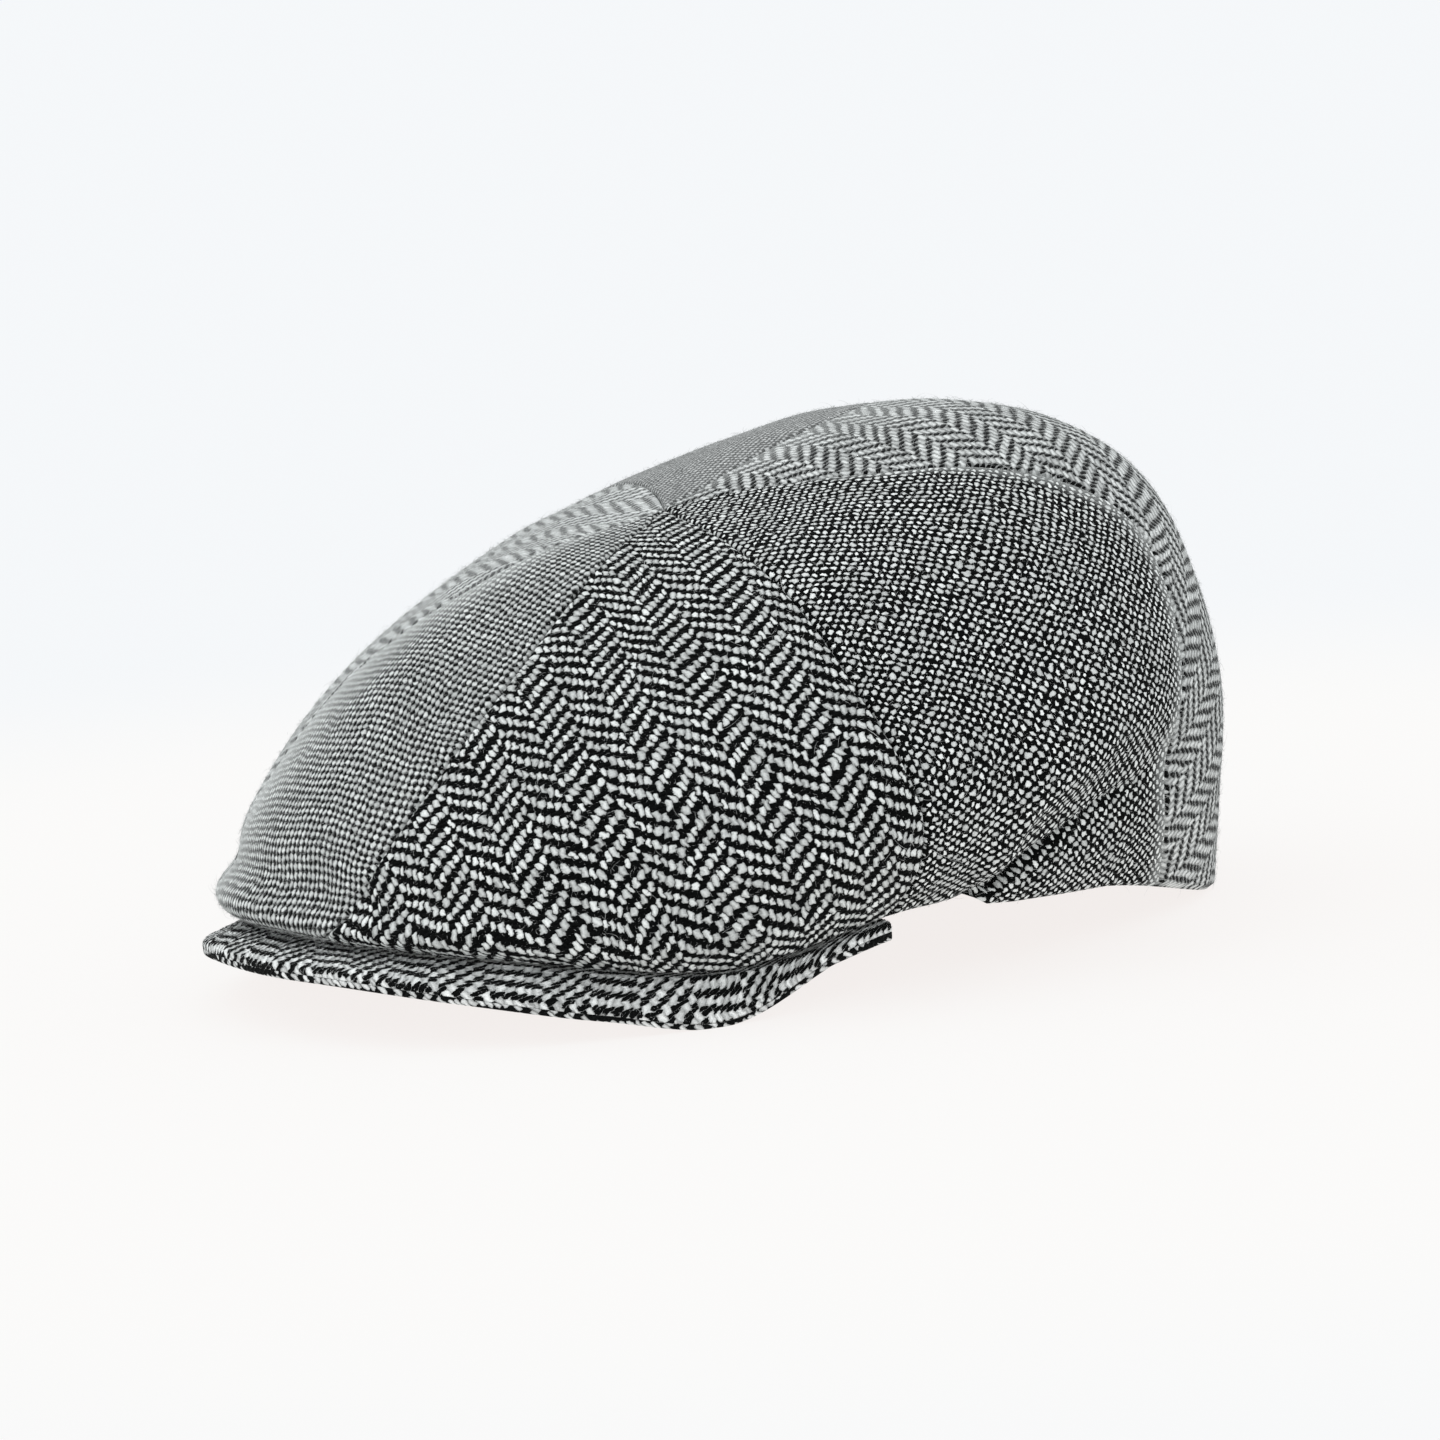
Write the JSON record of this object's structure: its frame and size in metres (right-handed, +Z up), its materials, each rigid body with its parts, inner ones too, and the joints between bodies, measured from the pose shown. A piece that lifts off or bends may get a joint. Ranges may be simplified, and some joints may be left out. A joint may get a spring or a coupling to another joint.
{
  "type": "flat cap",
  "caption": "Soft flat cap: a rounded crown sewn from cloth gores in mixed tweed weaves, over a short stiff curved peak covered in herringbone.",
  "frame": {"origin": "bottom centre of the bounding box, on the surface that the cap rests on", "axes": "+Z up, the peak points along -Y, +X is the wearer's left"},
  "size_m": [0.1982, 0.2536, 0.1173],
  "materials": {
    "fine_tweed": "light grey wool in a fine plain weave with black dots, matt and slightly fuzzy",
    "coarse_herringbone": "coarse black and light grey wool herringbone, matt and fuzzy",
    "dark_tweed": "black wool with light grey dots in a plain weave, matt and fuzzy",
    "light_herringbone": "light grey wool herringbone with thin black lines, matt and fuzzy",
    "grey_tweed": "mid grey wool in a fine weave, matt and fuzzy",
    "pale_herringbone": "pale grey wool herringbone, matt and fuzzy",
    "peak_herringbone": "coarse black and light grey wool herringbone drawn tight over the peak",
    "peak_lining": "dark fine woven wool, matt"
  },
  "bodies": {
    "root": {"front_panel": "fine_tweed", "front_left_panel": "coarse_herringbone", "rear_left_panel": "dark_tweed", "back_panel": "light_herringbone", "rear_right_panel": "grey_tweed", "front_right_panel": "pale_herringbone", "peak_cover": "peak_herringbone", "peak_underside": "peak_lining"}
  },
  "joints": []
}
